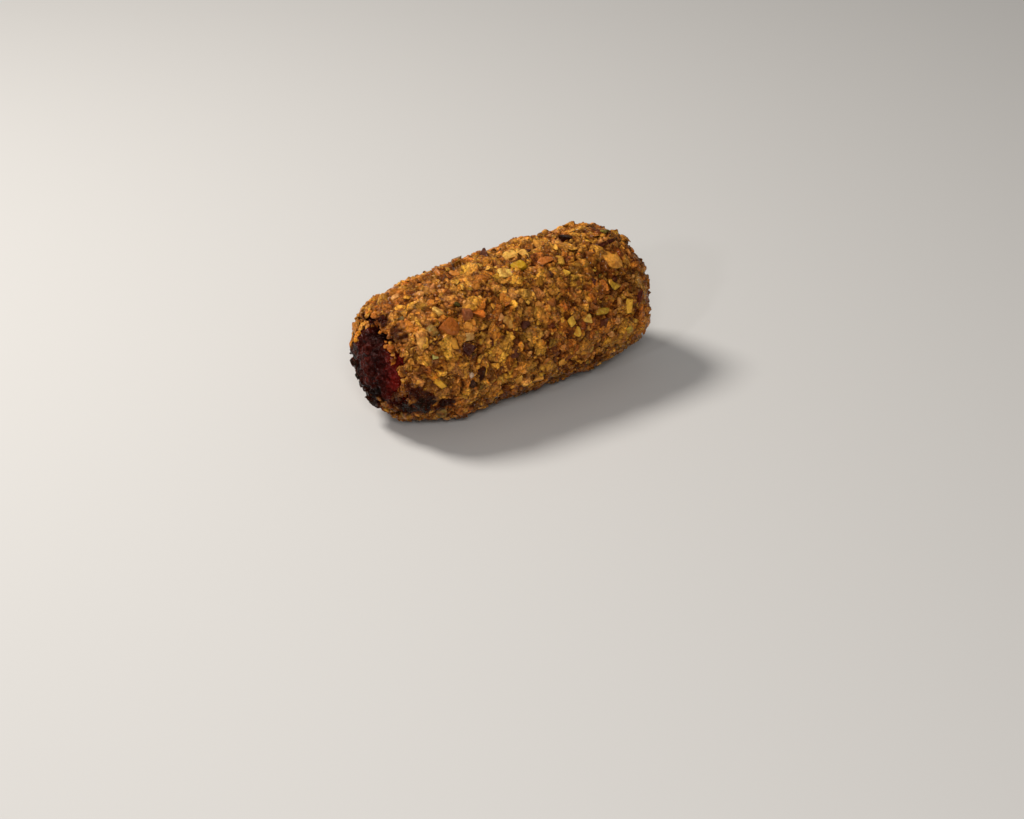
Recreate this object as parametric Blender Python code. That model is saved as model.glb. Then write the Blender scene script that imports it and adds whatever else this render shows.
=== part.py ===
"""A breaded croquette lying on its side: a roll of mortadella filling in a crust of chopped pistachio.

Units are metres and +Z is up. The roll lies along X, and its -X end has burst open, so that the filling
shows. The origin is under the middle of the roll, on the surface that it rests on.
"""

import functools
import math
import random

import bmesh
import bpy
import numpy as np
from mathutils import Euler, Matrix, Vector, noise

# The roll as a whole: where its two ends come to a point on its axis, and how thick it is
SHUT_TIP_X = 0.0526
BURST_TIP_X = -0.0544
RADIUS_MIDDLE = 0.0243
RADIUS_BURST_END = 0.0221
RADIUS_SHUT_END = 0.0227
SWELL_POWER = 1.2
BURST_END_SQUARENESS = 7.2
SHUT_END_SQUARENESS = 9.5
END_FULLNESS = 0.47
AXIS_HEIGHT = 0.0236

# The wall of the crust, and the room between it and the filling
CRUST_WALL = 0.0034
FIT_GAP = 0.0003

# The burst end: a mouth through the crust, ragged in waves of (lobes, height, phase), wider low at the back
MOUTH_RADIUS = 0.0163
MOUTH_WAVES = ((3, 0.0006, 0.7), (7, 0.0005, 2.0), (13, 0.0003, 0.4))
MOUTH_OFFSET = 0.0011
MOUTH_OFFSET_ANGLE = math.radians(235)
MOUTH_INNER_X = -0.0390
MOUTH_FLARE = 1.07

# The plug of filling that swells out through the mouth, with a fold in its face
PLUG_GAP = 0.0006
PLUG_ROOT_X = -0.0430
PLUG_TIP_X = -0.0527
PLUG_SQUARENESS = 5.0
PLUG_FULLNESS = 0.55
FOLD_ANGLE = math.radians(4)
FOLD_RADIUS = 0.0118
FOLD_WIDTH = 0.0042
FOLD_HEIGHT = 0.0105
FOLD_DEPTH = 0.0024

# Crags of the crust and lumps of the filling, as (wavelength, height), and where in the noise they lie
CRAGS = ((0.0150, 0.0007), (0.0068, 0.0013), (0.0036, 0.0012))
CRAG_NOISE_AT = Vector((3.1, 0.7, 5.2))
CALM_CRAGS = 0.35
LUMPS = ((0.0085, 0.0013), (0.0042, 0.0008))
LUMP_NOISE_AT = Vector((1.4, 8.3, 2.6))

# Facets round the roll and along its outline, and the share of those rings kept for the corners and the mouth
CRUST_FACETS = (48, 44)
HOLLOW_FACETS = (30, 20)
HOLLOW_CROWDING = (0.5, 0.0)
FILLING_FACETS = (34, 30)
FILLING_CROWDING = (0.3, 0.4)
MOUTH_FACETS = 44

# The chopped pieces that stand out of the crust
CHIP_COUNT = 132
CHIP_SEED = 11
CHIP_LENGTHS = (0.0056, 0.0034)
CHIP_WIDTH_SHARES = (0.65, 0.95)
CHIP_THICK_SHARES = (0.40, 0.60)
CHIP_PROUD_SHARE = 0.45
CHIP_TILT = math.radians(16)
CHIP_JITTER = 0.22
GOLDEN_ANGLE = math.pi * (3 - math.sqrt(5))
LANDMARK_ROOM = 0.0042

# The largest pieces in view: place along X, angle round the roll (0 front, 90 top), length, width, thickness
LANDMARKS = {
    "amber_nut": (-0.0330, 42, 0.0064, 0.0054, 0.0040),
    "gold_cube_left": (-0.0355, 57, 0.0036, 0.0032, 0.0026),
    "plum_skin_middle": (-0.0292, 22, 0.0046, 0.0040, 0.0030),
    "gold_cube_middle": (-0.0345, 29, 0.0038, 0.0030, 0.0024),
    "plum_skin_low": (-0.0262, -6, 0.0058, 0.0046, 0.0030),
    "gold_nib_left": (-0.0412, -2, 0.0046, 0.0034, 0.0028),
    "lime_nib_top": (0.0004, 72, 0.0042, 0.0034, 0.0026),
    "gold_nib_top": (-0.0067, 68, 0.0040, 0.0034, 0.0026),
    "gold_cube_top": (0.0010, 84, 0.0040, 0.0034, 0.0028),
    "gold_cube_right": (0.0172, 13, 0.0034, 0.0032, 0.0024),
    "gold_nib_right": (0.0106, 14, 0.0034, 0.0026, 0.0022),
    "gold_nib_low": (0.0122, 6, 0.0032, 0.0026, 0.0022),
    "tan_flake": (0.0353, 56, 0.0062, 0.0054, 0.0022),
    "gold_wedge": (0.0362, 11, 0.0046, 0.0036, 0.0022),
    "lime_strip": (0.0238, 15, 0.0054, 0.0024, 0.0020),
    "brown_shard": (0.0076, 58, 0.0058, 0.0026, 0.0022),
    "brown_knob_top": (-0.0025, 104, 0.0044, 0.0036, 0.0032),
    "brown_knob_right": (0.0097, 88, 0.0042, 0.0032, 0.0026),
    "plum_skin_right": (-0.0071, 26, 0.0040, 0.0034, 0.0024),
    "plum_skin_high": (0.0231, 39, 0.0036, 0.0028, 0.0022),
    "olive_nib_low": (-0.0372, -34, 0.0056, 0.0042, 0.0028),
    "amber_nib_rim": (-0.0500, 138, 0.0042, 0.0034, 0.0028),
    "olive_nib_rim": (-0.0470, -52, 0.0040, 0.0032, 0.0026),
}


def clear_scene():
    for item in list(bpy.data.objects):
        bpy.data.objects.remove(item)


def collection(name):
    made = bpy.data.collections.new(name)
    bpy.context.scene.collection.children.link(made)
    return made


def material(name, colour, roughness):
    made = bpy.data.materials.new(name)
    made.use_nodes = True
    shader = made.node_tree.nodes["Principled BSDF"]
    shader.inputs["Base Color"].default_value = (*colour, 1.0)
    shader.inputs["Roughness"].default_value = roughness
    shader.inputs["Metallic"].default_value = 0.0
    return made


def smooth_step(low, high, value):
    share = min(1.0, max(0.0, (value - low) / (high - low)))
    return share * share * (3 - 2 * share)


def rough(point, waves, offset):
    """The height at a point of several sizes of noise laid over each other."""
    return sum(height * noise.noise(point / wave + offset) for wave, height in waves)


def roll_radius(x, margin):
    """The roll's radius at x, moved in by a margin, and 0 beyond its tips."""
    tip = np.where(x < 0, BURST_TIP_X + margin, SHUT_TIP_X - margin)
    share = np.minimum(x / tip, 1.0)
    radius_end = np.where(x < 0, RADIUS_BURST_END, RADIUS_SHUT_END)
    squareness = np.where(x < 0, BURST_END_SQUARENESS, SHUT_END_SQUARENESS)
    swell = RADIUS_MIDDLE - (RADIUS_MIDDLE - radius_end) * share**SWELL_POWER
    fullness = (1 - share**squareness) ** END_FULLNESS
    return swell * fullness * (1 - margin / RADIUS_MIDDLE)


def plug_radius(x):
    """The radius at x of the filling that stands in the mouth, and 0 deeper inside."""
    share = np.clip((PLUG_ROOT_X - x) / (PLUG_ROOT_X - PLUG_TIP_X), 0, 1)
    fullness = (1 - share**PLUG_SQUARENESS) ** PLUG_FULLNESS
    return np.where(x < PLUG_ROOT_X, (MOUTH_RADIUS - PLUG_GAP) * fullness, 0.0)


class Outline:
    """A turned outline from its +X tip to its -X tip, read by its share of the way.

    The way is counted along the outline. A share of it can go to the turns of the corners, and to the mouth.
    """

    SAMPLES = 4001

    def __init__(self, highest_x, lowest_x, radius_at, crowding=(0.0, 0.0)):
        share = (1 - np.cos(np.linspace(0.0, math.pi, self.SAMPLES))) / 2
        self.x = highest_x + (lowest_x - highest_x) * share
        self.r = radius_at(self.x)
        along_x, along_r = np.gradient(self.x), np.gradient(self.r)
        size = np.hypot(along_x, along_r)
        self.out_x, self.out_r = along_r / size, -along_x / size
        step = np.hypot(np.diff(self.x), np.diff(self.r))
        turning = np.abs(np.diff(np.unwrap(np.arctan2(self.out_r, self.out_x))))
        in_mouth = step * (self.x[1:] < 0) * (self.r[1:] < MOUTH_RADIUS)
        for_turns, for_mouth = crowding
        self.way = (
            (1 - for_turns - for_mouth) * self.running_share(step)
            + for_turns * self.running_share(turning)
            + for_mouth * self.running_share(in_mouth)
        )
        self.area = self.running_share(step * (self.r[1:] + self.r[:-1]))

    @staticmethod
    def running_share(steps):
        total = np.concatenate([[0.0], np.cumsum(steps)])
        return total / total[-1]

    def at(self, way, angle):
        """The point and the outward direction at a share of the way and an angle (0 front, then up)."""
        x, r = np.interp(way, self.way, self.x), np.interp(way, self.way, self.r)
        out_x, out_r = np.interp(way, self.way, self.out_x), np.interp(way, self.way, self.out_r)
        around = Vector((0.0, -math.cos(angle), math.sin(angle)))
        outward = Vector((out_x, 0.0, 0.0)) + around * out_r
        return Vector((x, 0.0, 0.0)) + around * r, outward.normalized()

    def way_at_x(self, x):
        return float(np.interp(-x, -self.x, self.way))

    def way_at_area(self, share):
        return float(np.interp(share, self.area, self.way))


def roll_outline(margin=0.0, crowding=(0.0, 0.0)):
    return Outline(SHUT_TIP_X - margin, BURST_TIP_X + margin, lambda x: roll_radius(x, margin), crowding)


def filling_outline():
    def radius_at(x):
        return np.maximum(roll_radius(x, CRUST_WALL + FIT_GAP), plug_radius(x))

    return Outline(SHUT_TIP_X - CRUST_WALL - FIT_GAP, PLUG_TIP_X, radius_at, FILLING_CROWDING)


def mesh_object(name, shape, into):
    """Turns a finished shape's faces outwards and links it as an object."""
    shape.normal_update()
    bmesh.ops.recalc_face_normals(shape, faces=shape.faces)
    mesh = bpy.data.meshes.new(name)
    shape.to_mesh(mesh)
    shape.free()
    made = bpy.data.objects.new(name, mesh)
    into.objects.link(made)
    return made


def turned_form(name, facets, place, into):
    """A sphere whose points go where place puts each share of the way and angle."""
    segments, rings = facets
    shape = bmesh.new()
    bmesh.ops.create_uvsphere(shape, u_segments=segments, v_segments=rings, radius=1.0)
    for corner in shape.verts:
        way = math.acos(max(-1.0, min(1.0, corner.co.z))) / math.pi
        angle = math.atan2(corner.co.y, -corner.co.x)
        corner.co = place(way, angle)
    return mesh_object(name, shape, into)


def crust_relief(point):
    """Crags all over, lower underneath, where the roll lies, and where the facets meet at the tips."""
    above = smooth_step(-RADIUS_MIDDLE, -RADIUS_MIDDLE * 0.75, point.z)
    off_tip = smooth_step(0.002, 0.012, math.hypot(point.y, point.z))
    return rough(point, CRAGS, CRAG_NOISE_AT) * (CALM_CRAGS + (1 - CALM_CRAGS) * min(above, off_tip))


def crust_point(outline, way, angle):
    point, outward = outline.at(way, angle)
    return point + outward * crust_relief(point)


def mouth_outline(angle):
    """The distance from the axis to the ragged edge of the mouth."""
    ragged = sum(height * math.sin(lobes * angle + phase) for lobes, height, phase in MOUTH_WAVES)
    return MOUTH_RADIUS + MOUTH_OFFSET * math.cos(angle - MOUTH_OFFSET_ANGLE) + ragged


def face_relief(point):
    """Lumps all over the face of the filling, and a smooth fold near the front of the mouth."""
    fold_y, fold_z = -FOLD_RADIUS * math.cos(FOLD_ANGLE), FOLD_RADIUS * math.sin(FOLD_ANGLE)
    across, along = (point.y - fold_y) / FOLD_WIDTH, (point.z - fold_z) / FOLD_HEIGHT
    fold = FOLD_DEPTH * math.exp(-(across * across) - along * along)
    return rough(point, LUMPS, LUMP_NOISE_AT) - fold


def filling_point(outline, way, angle):
    """Smooth inside the crust. The plug in the mouth follows its ragged edge and has relief on its face."""
    point, outward = outline.at(way, angle)
    if point.x > PLUG_ROOT_X:
        return point
    ragged = (mouth_outline(angle) - PLUG_GAP) / (MOUTH_RADIUS - PLUG_GAP)
    radius = max(float(roll_radius(point.x, CRUST_WALL + FIT_GAP)), float(plug_radius(point.x)) * ragged)
    on_face = 1 - smooth_step(MOUTH_RADIUS * 0.70, MOUTH_RADIUS * 0.92, radius)
    point = Vector((point.x, -radius * math.cos(angle), radius * math.sin(angle)))
    return point + outward * face_relief(point) * on_face


def mouth_cutter(into):
    """A plug that opens the crust's -X end, a little wider outside than inside."""
    shape = bmesh.new()
    turn = Matrix.Rotation(-math.pi / 2, 4, "Y")
    depth = MOUTH_INNER_X - BURST_TIP_X + CRUST_WALL
    bmesh.ops.create_cone(
        shape,
        cap_ends=True,
        segments=MOUTH_FACETS,
        radius1=1.0,
        radius2=MOUTH_FLARE,
        depth=depth,
        matrix=Matrix.Translation((MOUTH_INNER_X - depth / 2, 0.0, 0.0)) @ turn,
    )
    for corner in shape.verts:
        wide = math.hypot(corner.co.y, corner.co.z)
        edge = mouth_outline(math.atan2(corner.co.z, -corner.co.y)) * wide
        around = Vector((0.0, corner.co.y, corner.co.z)).normalized()
        corner.co = Vector((corner.co.x, 0.0, 0.0)) + around * edge
    return mesh_object("mouth_cutter", shape, into)


def surface_cutter(into):
    """A block below the surface that the roll rests on, which leaves a flat strip under the crust."""
    side = 2 * (SHUT_TIP_X - BURST_TIP_X)
    shape = bmesh.new()
    bmesh.ops.create_cube(shape, size=side)
    bmesh.ops.translate(shape, vec=(0.0, 0.0, -AXIS_HEIGHT - side / 2), verts=shape.verts)
    return mesh_object("surface_cutter", shape, into)


def chip_places(outline):
    """(way, angle, length, width, thickness) of each piece: the landmarks, then a spiral, largest first."""
    draw = random.Random(CHIP_SEED)
    places = []
    for x, degrees, *size in LANDMARKS.values():
        places.append((outline.way_at_x(x), math.radians(degrees), *size))
    taken = [outline.at(way, angle)[0] for way, angle, *size in places]
    mouth_way = outline.way_at_x(BURST_TIP_X + CRUST_WALL)
    order = list(range(CHIP_COUNT))
    draw.shuffle(order)
    for rank, step in enumerate(order):
        way = outline.way_at_area((step + draw.uniform(0.1, 0.9)) / CHIP_COUNT)
        angle = step * GOLDEN_ANGLE + draw.uniform(-0.12, 0.12)
        longest, shortest = CHIP_LENGTHS
        length = longest + (shortest - longest) * rank / CHIP_COUNT
        width = length * draw.uniform(*CHIP_WIDTH_SHARES)
        thickness = length * draw.uniform(*CHIP_THICK_SHARES)
        point = outline.at(way, angle)[0]
        if way < mouth_way and all((point - other).length > LANDMARK_ROOM for other in taken):
            places.append((way, angle, length, width, thickness))
    return places


def chip(index, place, outline, into):
    """One chopped piece: an uneven little rock of 20 faces that lies half sunk in the crust."""
    way, angle, length, width, thickness = place
    draw = random.Random(CHIP_SEED * 1000 + index)
    point, outward = outline.at(way, angle)
    point = point + outward * (crust_relief(point) + thickness * (CHIP_PROUD_SHARE - 0.5))
    shape = bmesh.new()
    bmesh.ops.create_icosphere(shape, subdivisions=1, radius=0.5)
    for corner in shape.verts:
        corner.co *= 1.0 + draw.uniform(-CHIP_JITTER, CHIP_JITTER)
    lying = outward.to_track_quat("Z", "X").to_matrix().to_4x4()
    lean = Euler((draw.gauss(0, CHIP_TILT), draw.gauss(0, CHIP_TILT), draw.uniform(0, math.tau)))
    size = Matrix.Diagonal((length, width, thickness, 1.0))
    shape.transform(Matrix.Translation(point) @ lying @ lean.to_matrix().to_4x4() @ size)
    mesh_object(f"chip_{index:03d}", shape, into)


def boolean(target, operation, operand):
    """Adds a Boolean with one object or a collection. The exact solver loses the wall at the mouth."""
    made = target.modifiers.new(operation.lower(), "BOOLEAN")
    made.operation = operation
    made.solver = "MANIFOLD"
    if isinstance(operand, bpy.types.Collection):
        made.operand_type = "COLLECTION"
        made.collection = operand
    else:
        made.object = operand


def apply_modifiers(target):
    graph = bpy.context.evaluated_depsgraph_get()
    mesh = bpy.data.meshes.new_from_object(target.evaluated_get(graph))
    target.modifiers.clear()
    target.data = mesh


def keep_largest_piece(target):
    """Drops loose scraps, and the walls of hollows that the union has sealed, which fills them."""
    shape = bmesh.new()
    shape.from_mesh(target.data)
    unseen, pieces = set(shape.verts), []
    while unseen:
        piece, edge = set(), [unseen.pop()]
        while edge:
            corner = edge.pop()
            piece.add(corner)
            near = {link.other_vert(corner) for link in corner.link_edges} & unseen
            unseen -= near
            edge.extend(near)
        pieces.append(piece)
    largest = max(pieces, key=len)
    scraps = [corner for corner in shape.verts if corner not in largest]
    bmesh.ops.delete(shape, geom=scraps, context="VERTS")
    shape.to_mesh(target.data)
    shape.free()


def remove_collection(group):
    for item in list(group.objects):
        bpy.data.objects.remove(item)
    bpy.data.collections.remove(group)


def finish_surface(target, look, sharp_degrees):
    target.data.materials.clear()
    target.data.materials.append(look)
    target.data.shade_smooth()
    target.data.set_sharp_from_angle(angle=math.radians(sharp_degrees))


def build_crust(parts):
    chips, cutters = collection("chips"), collection("cutters")
    outline = roll_outline()
    crust = turned_form("pistachio_crust", CRUST_FACETS, functools.partial(crust_point, outline), parts)
    for index, place in enumerate(chip_places(outline)):
        chip(index, place, outline, chips)
    inside = roll_outline(CRUST_WALL, HOLLOW_CROWDING)
    hollow = turned_form("hollow_cutter", HOLLOW_FACETS, lambda way, angle: inside.at(way, angle)[0], cutters)
    boolean(crust, "UNION", chips)
    for cutter in (hollow, mouth_cutter(cutters), surface_cutter(cutters)):
        boolean(crust, "DIFFERENCE", cutter)
    apply_modifiers(crust)
    keep_largest_piece(crust)
    remove_collection(chips)
    remove_collection(cutters)
    finish_surface(crust, material("pistachio crust", (0.36, 0.17, 0.045), 0.55), 40)
    return crust


def build_filling(parts):
    outline = filling_outline()
    place = functools.partial(filling_point, outline)
    filling = turned_form("mortadella_filling", FILLING_FACETS, place, parts)
    finish_surface(filling, material("mortadella filling", (0.115, 0.016, 0.010), 0.30), 60)
    return filling


def main():
    clear_scene()
    parts = collection("croquette")
    for piece in (build_crust(parts), build_filling(parts)):
        piece.location.z = AXIS_HEIGHT


main()
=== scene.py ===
"""The looks of the croquette: a craggy fried crust of crumbs and chopped pistachio round a glossy dark filling.

Units are metres, in the frame of the CAD model. An angle round the roll is 0 at the front (-Y) and 90 on top.
"""

import math
from dataclasses import dataclass

import bmesh
import bpy
import numpy as np
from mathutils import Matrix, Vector, noise
from mathutils.bvhtree import BVHTree
from mathutils.kdtree import KDTree


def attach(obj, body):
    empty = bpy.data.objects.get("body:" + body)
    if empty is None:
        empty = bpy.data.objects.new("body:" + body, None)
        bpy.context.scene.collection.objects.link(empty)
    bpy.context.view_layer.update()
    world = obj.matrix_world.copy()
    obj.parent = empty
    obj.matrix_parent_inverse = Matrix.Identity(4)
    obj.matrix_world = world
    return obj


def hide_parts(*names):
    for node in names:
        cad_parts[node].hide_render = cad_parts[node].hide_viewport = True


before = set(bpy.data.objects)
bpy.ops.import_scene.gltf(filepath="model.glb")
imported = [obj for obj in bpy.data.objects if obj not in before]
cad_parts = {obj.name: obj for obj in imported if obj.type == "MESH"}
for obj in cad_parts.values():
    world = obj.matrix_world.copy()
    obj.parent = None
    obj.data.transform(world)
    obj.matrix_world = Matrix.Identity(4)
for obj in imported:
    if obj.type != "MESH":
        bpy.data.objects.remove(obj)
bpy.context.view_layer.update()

# The roll, as in the CAD model
SHUT_TIP_X = 0.0526
BURST_TIP_X = -0.0544
RADIUS_MIDDLE = 0.0243
RADIUS_BURST_END = 0.0221
RADIUS_SHUT_END = 0.0227
SWELL_POWER = 1.2
BURST_END_SQUARENESS = 7.2
SHUT_END_SQUARENESS = 9.5
END_FULLNESS = 0.47
AXIS_HEIGHT = 0.0236
CRUST_WALL = 0.0034
FIT_GAP = 0.0003
MOUTH_RADIUS = 0.0163
MOUTH_WAVES = ((3, 0.0006, 0.7), (7, 0.0005, 2.0), (13, 0.0003, 0.4))
MOUTH_OFFSET = 0.0011
MOUTH_OFFSET_ANGLE = math.radians(235)
MOUTH_FLARE = 1.04
PLUG_GAP = 0.0006
PLUG_ROOT_X = -0.0430
PLUG_TIP_X = -0.0527
PLUG_SQUARENESS = 5.0
PLUG_FULLNESS = 0.55
FOLD_ANGLE = math.radians(4)
FOLD_RADIUS = 0.0118
FOLD_WIDTH = 0.0042
FOLD_HEIGHT = 0.0105
FOLD_DEPTH = 0.0024
CRAGS = ((0.0150, 0.0007), (0.0068, 0.0013))
CRAG_NOISE_AT = (3.1, 0.7, 5.2)
CALM_CRAGS = 0.35
LUMPS = ((0.0085, 0.0013), (0.0042, 0.0008))
LUMP_NOISE_AT = (1.4, 8.3, 2.6)

# The crust's crumbs, packed in three sizes: width, groove depth, step height, slope, and the share that are whole
CRUMB_SIZES = (
    (0.0050, 0.00052, 0.00046, 0.14, 0.35),
    (0.0027, 0.00050, 0.00042, 0.22, 0.50),
    (0.0015, 0.00034, 0.00026, 0.28, 1.00),
)
CRUMB_WARP = (0.0021, 0.00040)
CRUMB_SEED = 5
FINE_GRAIN = (0.0011, 0.00020)

# Torn cracks in the crumb: how long they wander, how wide and how deep they are
CRACK_WANDER = 0.0062
CRACK_WIDTH = 0.07
CRACK_DEPTH = 0.0008

# Facets round the roll, and rings over the crust's outside, the mouth's wall and the hollow inside
CRUST_SEGMENTS = 320
CRUST_RINGS = (264, 14, 12)
FILLING_SEGMENTS = 224
FILLING_RINGS = 110
FILLING_CROWDING = (0.1, 0.75)

# How far in from the crust's edge its crumbs reach over the filling, by the angle in degrees
MOUTH_REACH = (
    (0, 0.0152), (14, 0.0140), (28, 0.0120), (48, 0.0118), (62, 0.0134), (80, 0.0150), (105, 0.0140),
    (140, 0.0126), (180, 0.0118), (265, 0.0116), (305, 0.0126), (335, 0.0142),
)

# How deep the edge's crumbs may lie below the roll's smooth outline
RIM_SINK = 0.0010

# Pieces that stand out in the photograph stand a little higher than the rest
LANDMARK_HEIGHT = 1.15

# How much smaller the pieces are at the tightly curved ends
TIP_SHRINK = 0.4

# Hollows in the filling's face, painted nearly black as painted shade: angle in degrees, distance from the axis, width,
# depth
HOLLOWS = ((82, 0.0134, 0.0044, 0.0030), (286, 0.0104, 0.0036, 0.0020), (192, 0.0118, 0.0040, 0.0014))

# Colours as sRGB out of 255. The crumb drifts between the three tones over the roll
CRUMB_TONES = ((210, 146, 58), (176, 108, 36), (118, 60, 20))
CRUMB_COLOURS = {
    "gold": ((226, 162, 60), 0.30),
    "amber": ((194, 114, 38), 0.28),
    "tan": ((214, 146, 78), 0.14),
    "rust": ((150, 72, 24), 0.08),
    "toast": ((108, 54, 20), 0.08),
    "olive": ((182, 136, 46), 0.07),
    "plum": ((66, 24, 11), 0.05),
}
RIM_COLOURS = {
    "gold": ((206, 142, 54), 0.25),
    "amber": ((176, 102, 36), 0.40),
    "rust": ((132, 60, 22), 0.25),
    "toast": ((92, 40, 16), 0.10),
}
KERNEL_COLOURS = {
    "yellow": ((214, 158, 62), 0.36),
    "gold": ((204, 140, 48), 0.34),
    "lime": ((192, 154, 52), 0.08),
    "olive": ((154, 114, 42), 0.12),
    "tan": ((200, 144, 80), 0.10),
}
NUT_COLOURS = {
    "amber": ((172, 104, 38), 0.34),
    "tan": ((196, 138, 70), 0.26),
    "gold": ((196, 134, 52), 0.18),
    "brown": ((122, 68, 28), 0.22),
}
SKIN_COLOURS = {
    "plum": ((58, 20, 11), 0.36),
    "brown": ((80, 42, 20), 0.40),
    "red": ((102, 42, 22), 0.16),
    "grey": ((110, 80, 52), 0.08),
}
GREEN_COLOURS = {
    "leaf": ((104, 90, 38), 0.6),
    "moss": ((76, 66, 30), 0.4),
}
# A dark red-brown: painted shade in grooves, cracks and gaps and low on each piece, and the first step of charring
SHADE_AND_SCORCH_COLOUR = (60, 12, 3)
TOASTED_COLOUR = (150, 84, 24)
# Near black: charred crust and filling, and painted shade in the filling's hollows and on the crust's lower front
CHAR_AND_SHADE_COLOUR = (11, 4, 2)
RED_COLOUR = (92, 9, 4)
DEEP_RED_COLOUR = (34, 4, 2)
MEAT_COLOUR = (68, 17, 9)

# Each chip's colour, as shares of red, green and blue: the spread and the least
CHIP_SPREAD = (0.12, 0.16, 0.40)
CHIP_LEAST = (0.98, 0.93, 0.80)

# Places beside the mouth where the crust is charred or dark red, partly painted shade on the lower front: x, angle in
# degrees, width and strength
SCORCH_AND_SHADE_SPOTS = (
    (-0.0436, -24, 0.0048, 0.92),
    (-0.0375, -29, 0.0040, 0.85),
    (-0.0482, -38, 0.0036, 0.80),
    (-0.0480, -10, 0.0036, 0.66),
    (-0.0480, 56, 0.0036, 0.62),
    (-0.0492, 84, 0.0026, 0.70),
    (-0.0488, 118, 0.0020, 0.60),
    (-0.0500, 20, 0.0026, 0.60),
)

# The tints of the gloss
NUT_GLOSS = (1.0, 0.84, 0.60)
SKIN_GLOSS = (1.0, 0.75, 0.60)
MEAT_GLOSS = (1.0, 0.35, 0.22)

# The photograph's camera, worked out from the plate's edges
CAMERA_PLACE = (-0.5118, -0.6850, 0.4612)
CAMERA_YAW = math.radians(36.98)
CAMERA_PITCH = math.radians(28.81)
FOCAL_PIXELS = 2926
PHOTO_WIDTH = 1024
SENSOR_WIDTH = 36.0


def smooth_step(low, high, value):
    share = np.clip((value - low) / (high - low), 0.0, 1.0)
    return share * share * (3 - 2 * share)


def linear(colour):
    """An sRGB colour out of 255 as linear light."""
    share = np.asarray(colour, float) / 255
    return np.where(share > 0.04045, ((share + 0.055) / 1.055) ** 2.4, share / 12.92)


def noise_at(points, wavelength, offset=(0.0, 0.0, 0.0)):
    """One noise value, about -1 to 1, at each point."""
    return np.array([noise.noise(place) for place in (points / wavelength + offset).tolist()])


def noise_vectors_at(points, wavelength, offset=(0.0, 0.0, 0.0)):
    return np.array([noise.noise_vector(place) for place in (points / wavelength + offset).tolist()])


def rough(points, waves, offset):
    return sum(height * noise_at(points, wavelength, offset) for wavelength, height in waves)


def angle_of(points):
    return np.arctan2(points[:, 2], -points[:, 1])


def off_axis(points):
    return np.hypot(points[:, 1], points[:, 2])


def unit(vectors):
    return vectors / np.linalg.norm(vectors, axis=-1, keepdims=True)


def around(angle):
    return np.stack([np.zeros_like(angle), -np.cos(angle), np.sin(angle)], axis=-1)


def roll_radius(x, margin=0.0):
    """The roll's radius at x, moved in by a margin, and 0 beyond its tips."""
    tip = np.where(x < 0, BURST_TIP_X + margin, SHUT_TIP_X - margin)
    share = np.minimum(x / tip, 1.0)
    radius_end = np.where(x < 0, RADIUS_BURST_END, RADIUS_SHUT_END)
    squareness = np.where(x < 0, BURST_END_SQUARENESS, SHUT_END_SQUARENESS)
    swell = RADIUS_MIDDLE - (RADIUS_MIDDLE - radius_end) * share**SWELL_POWER
    fullness = (1 - share**squareness) ** END_FULLNESS
    return swell * fullness * (1 - margin / RADIUS_MIDDLE)


def plug_radius(x):
    """The radius at x of the filling that stands in the mouth, and 0 deeper inside."""
    share = np.clip((PLUG_ROOT_X - x) / (PLUG_ROOT_X - PLUG_TIP_X), 0, 1)
    fullness = (1 - share**PLUG_SQUARENESS) ** PLUG_FULLNESS
    return np.where(x < PLUG_ROOT_X, (MOUTH_RADIUS - PLUG_GAP) * fullness, 0.0)


def mouth_outline(angle):
    """The distance from the axis to the ragged edge of the mouth."""
    ragged = sum(height * np.sin(lobes * angle + phase) for lobes, height, phase in MOUTH_WAVES)
    return MOUTH_RADIUS + MOUTH_OFFSET * np.cos(angle - MOUTH_OFFSET_ANGLE) + ragged


class Outline:
    """A turned outline from its +X tip to its -X tip, read by its share of the way."""

    SAMPLES = 4001

    def __init__(self, highest_x, lowest_x, radius_at, crowding=(0.0, 0.0)):
        share = (1 - np.cos(np.linspace(0.0, math.pi, self.SAMPLES))) / 2
        self.x = highest_x + (lowest_x - highest_x) * share
        self.r = radius_at(self.x)
        along_x, along_r = np.gradient(self.x), np.gradient(self.r)
        size = np.hypot(along_x, along_r)
        self.out_x, self.out_r = along_r / size, -along_x / size
        step = np.hypot(np.diff(self.x), np.diff(self.r))
        turning = np.abs(np.diff(np.unwrap(np.arctan2(self.out_r, self.out_x))))
        in_mouth = step * (self.x[1:] < 0) * (self.r[1:] < MOUTH_RADIUS)
        for_turns, for_mouth = crowding
        self.way = (
            (1 - for_turns - for_mouth) * self.running_share(step)
            + for_turns * self.running_share(turning)
            + for_mouth * self.running_share(in_mouth)
        )
        self.area = self.running_share(step * (self.r[1:] + self.r[:-1]))

    @staticmethod
    def running_share(steps):
        total = np.concatenate([[0.0], np.cumsum(steps)])
        return total / total[-1]

    def at(self, way, angle):
        """The points and outward directions at shares of the way and angles."""
        x, r = np.interp(way, self.way, self.x), np.interp(way, self.way, self.r)
        out_x, out_r = np.interp(way, self.way, self.out_x), np.interp(way, self.way, self.out_r)
        spoke = around(angle)
        points = np.stack([x, r, r], axis=-1) * (spoke + (1.0, 0.0, 0.0))
        outward = np.stack([out_x, out_r, out_r], axis=-1) * (spoke + (1.0, 0.0, 0.0))
        return points, unit(outward)

    def way_at_x(self, x):
        return np.interp(-np.asarray(x), -self.x, self.way)

    def way_at_area(self, share):
        return np.interp(share, self.area, self.way)

    def way_at_mouth(self, radius):
        """The share of the way where the burst end narrows to a radius."""
        cap = self.x < BURST_TIP_X * 0.8
        return np.interp(radius, self.r[cap][::-1], self.way[cap][::-1])


def roll_outline(margin=0.0):
    return Outline(SHUT_TIP_X - margin, BURST_TIP_X + margin, lambda x: roll_radius(x, margin))


def filling_outline():
    def radius_at(x):
        return np.maximum(roll_radius(x, CRUST_WALL + FIT_GAP), plug_radius(x))

    return Outline(SHUT_TIP_X - CRUST_WALL - FIT_GAP, PLUG_TIP_X, radius_at, FILLING_CROWDING)


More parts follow.
